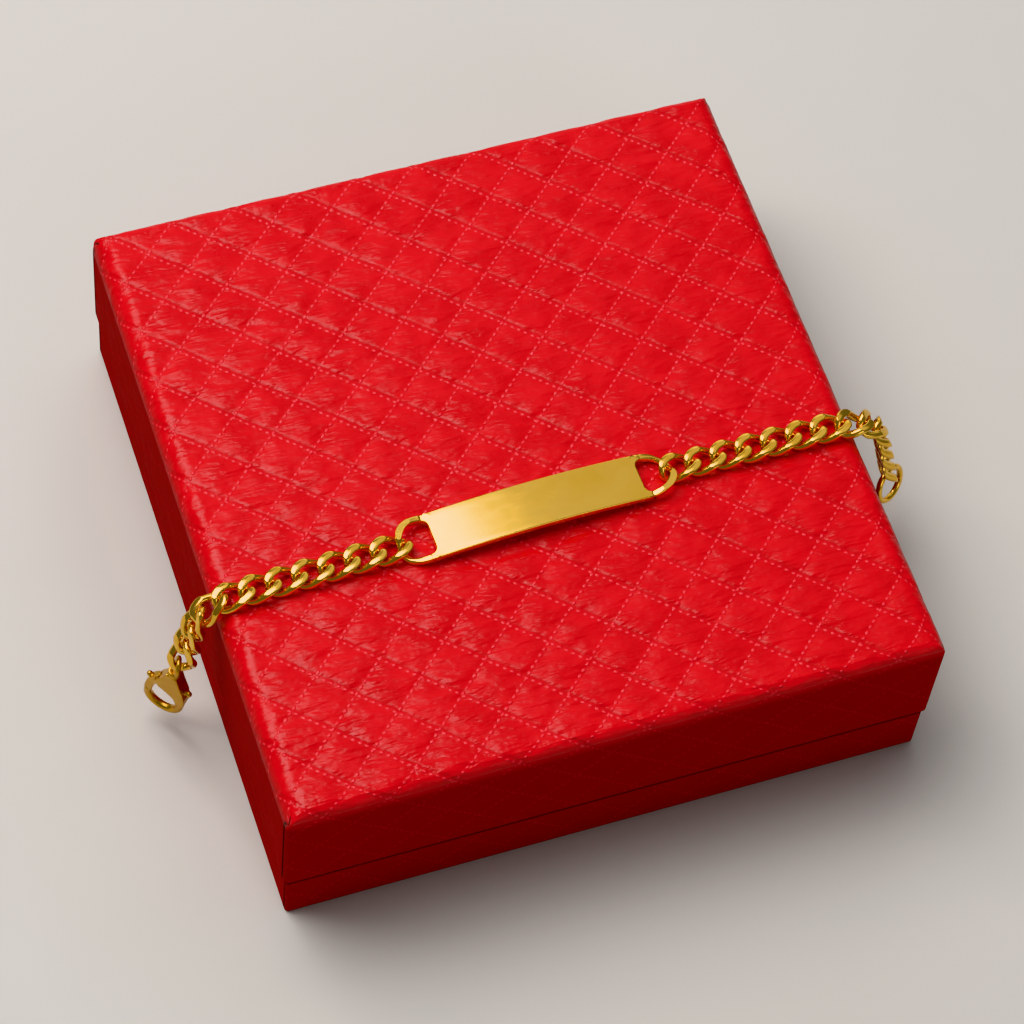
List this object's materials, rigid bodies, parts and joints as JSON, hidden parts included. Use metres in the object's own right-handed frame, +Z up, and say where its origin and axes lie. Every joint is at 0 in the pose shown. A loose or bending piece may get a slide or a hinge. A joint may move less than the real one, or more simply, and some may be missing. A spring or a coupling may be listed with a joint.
{
  "type": "nameplate bracelet on a gift box",
  "caption": "Curb chain bracelet with a blank arched nameplate, a swivel lobster clasp and an end ring, laid across a closed lift-off gift box.",
  "frame": {"origin": "middle of the box's underside, on the surface that it rests on", "axes": "+X along the bracelet, from the clasp towards the end ring; +Y towards the far side; +Z up out of the lid"},
  "size_m": [0.1095, 0.0924, 0.0306],
  "materials": {
    "chain_gold": "polished gold plating",
    "plate_gold": "polished gold plating",
    "clasp_gold": "polished gold plating",
    "box_cover": "board covered in glossy embossed leatherette paper",
    "box_side": "board covered in glossy embossed leatherette paper"
  },
  "bodies": {
    "bracelet": {"box_base": "box_side", "box_lid": "box_cover", "nameplate": "plate_gold", "chain_link_left_01": "chain_gold", "chain_link_left_02": "chain_gold", "chain_link_left_03": "chain_gold", "chain_link_left_04": "chain_gold", "chain_link_left_05": "chain_gold", "chain_link_left_06": "chain_gold", "chain_link_left_07": "chain_gold", "chain_link_left_08": "chain_gold", "chain_link_left_09": "chain_gold", "chain_link_left_10": "chain_gold", "chain_link_left_11": "chain_gold", "chain_link_right_01": "chain_gold", "chain_link_right_02": "chain_gold", "chain_link_right_03": "chain_gold", "chain_link_right_04": "chain_gold", "chain_link_right_05": "chain_gold", "chain_link_right_06": "chain_gold", "chain_link_right_07": "chain_gold", "chain_link_right_08": "chain_gold", "chain_link_right_09": "chain_gold", "chain_link_right_10": "chain_gold", "chain_link_right_11": "chain_gold", "chain_link_right_12": "chain_gold", "chain_link_right_13": "chain_gold", "swivel_eye": "clasp_gold", "end_ring": "chain_gold"},
    "clasp": {"clasp_body": "clasp_gold"},
    "lever": {"clasp_lever": "clasp_gold"}
  },
  "joints": [
    {"name": "clasp_swivel", "type": "hinge", "parent": "bracelet", "child": "clasp", "pos_m": [-0.05052, -0.01469, 0.01479], "axis": [0.1371, -0.1471, 0.9796], "continuous": true},
    {"name": "lever_hinge", "type": "hinge", "parent": "clasp", "child": "lever", "pos_m": [-0.0516, -0.01354, 0.01061], "axis": [-0.7314, -0.682, 0], "range_deg": [0, 25], "stiffness_Nm_per_rad": 0.002}
  ]
}
